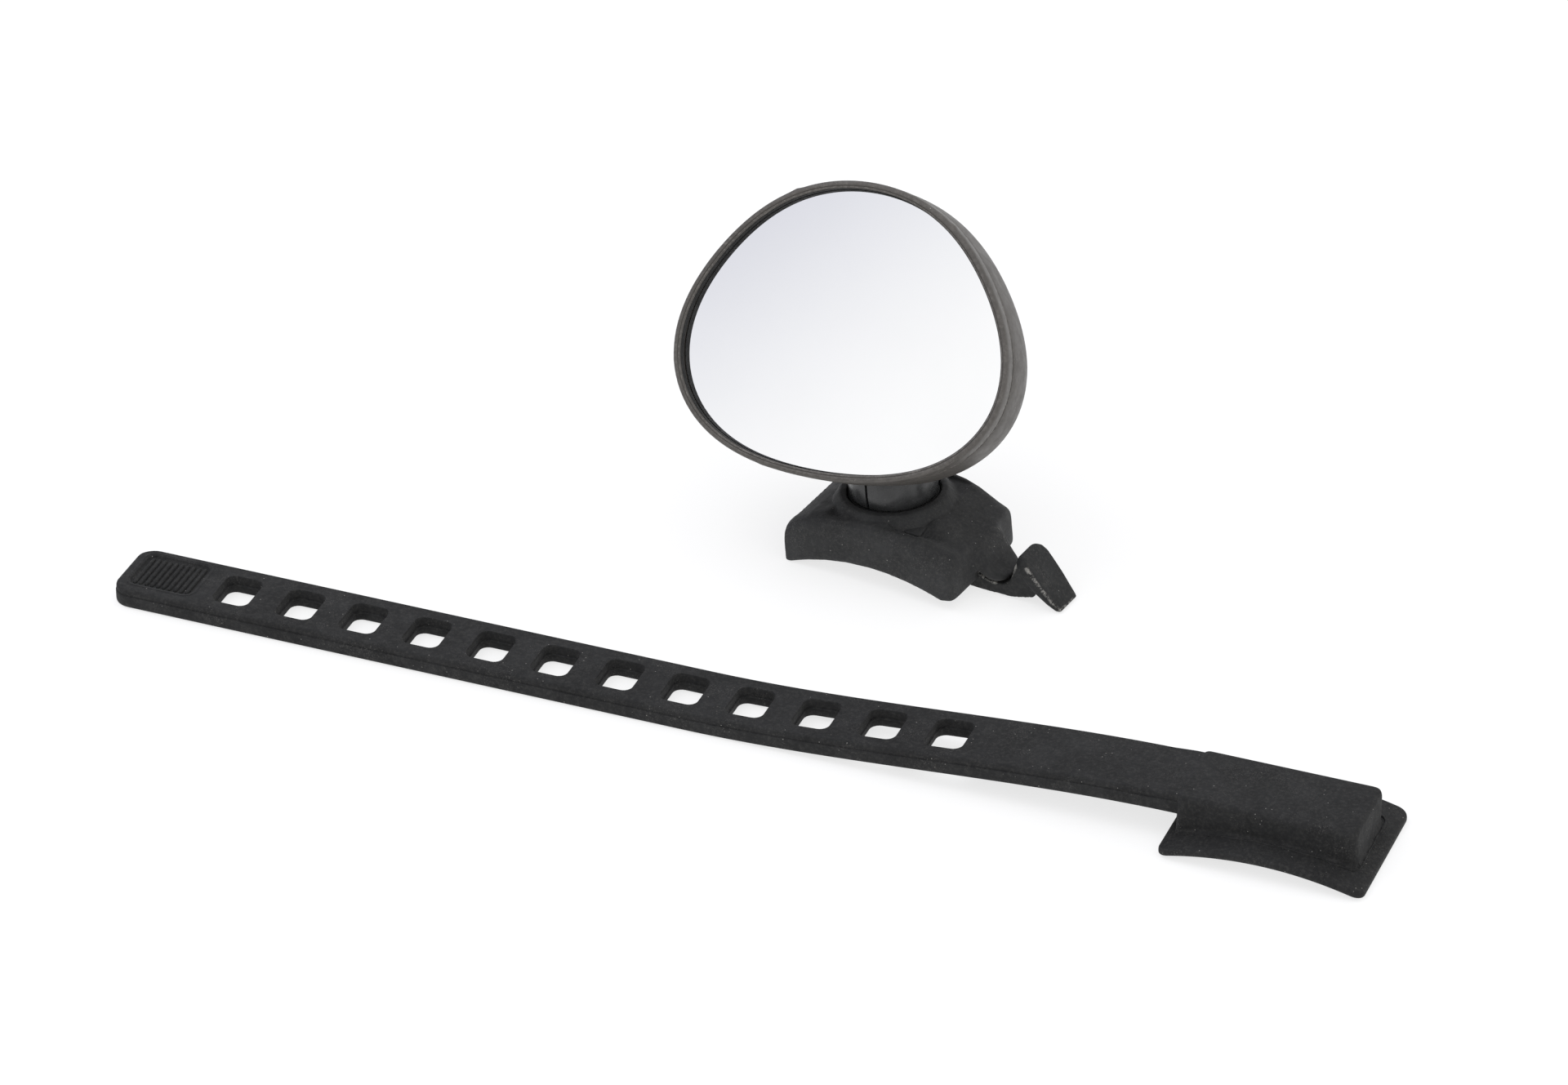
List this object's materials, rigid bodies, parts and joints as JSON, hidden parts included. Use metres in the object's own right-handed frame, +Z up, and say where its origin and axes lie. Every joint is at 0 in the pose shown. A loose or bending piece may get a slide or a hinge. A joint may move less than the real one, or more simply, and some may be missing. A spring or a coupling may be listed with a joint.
{
  "type": "bicycle handlebar mirror",
  "caption": "Small convex bicycle mirror on a ball joint in a rubber saddle with a hook, with its perforated rubber strap laid in front, ready to wrap round a handlebar.",
  "frame": {"origin": "on the strap's flat underside, on the web midway between two of its holes, at the level of the surface that everything stands on", "axes": "+X along the strap towards its anchor block, +Z up, the mirror faces -Y"},
  "size_m": [0.1918, 0.0824, 0.0537],
  "materials": {
    "strap_rubber": "matt moulded rubber",
    "saddle_rubber": "matt moulded rubber",
    "hook_plastic": "moulded plastic with scuffs",
    "socket_plastic": "polished black plastic",
    "head_plastic": "semi-matt dark grey plastic",
    "mirror_silver": "silvered convex mirror",
    "pad_foam": "foam tape",
    "plated_steel": "plated",
    "washer_nylon": "natural nylon"
  },
  "bodies": {
    "saddle": {"saddle_body": "saddle_rubber", "core_and_hook": "hook_plastic"},
    "socket": {"socket_cup": "socket_plastic", "friction_washer": "washer_nylon", "socket_circlip": "plated_steel", "tension_ring": "strap_rubber"},
    "ball": {"ball_stud": "hook_plastic", "stud_washer": "plated_steel", "stud_screw": "plated_steel"},
    "head": {"bezel_ring": "head_plastic", "head_shell": "head_plastic", "mirror_glass": "mirror_silver", "glass_pad": "pad_foam"},
    "strap": {"strap_band": "strap_rubber", "anchor_pad": "strap_rubber"}
  },
  "joints": [
    {"name": "socket_swivel", "type": "hinge", "parent": "saddle", "child": "socket", "pos_m": [0.01789, 0.04882, 0.01309], "axis": [-0.0776, 0.0116, 0.9969], "continuous": true},
    {"name": "ball_tilt", "type": "hinge", "parent": "socket", "child": "ball", "pos_m": [0.01789, 0.04882, 0.01309], "axis": [0.9994, -0.0349, 0], "range_deg": [-28, 23]},
    {"name": "head_turn", "type": "hinge", "parent": "ball", "child": "head", "pos_m": [0.01789, 0.04882, 0.01309], "axis": [-0.0776, 0.0116, 0.9969], "range_deg": [-12, 12]},
    {"name": "strap_lift", "type": "slide", "parent": "saddle", "child": "strap", "axis": [0, 0, 1], "range_m": [0, 0.06]}
  ]
}
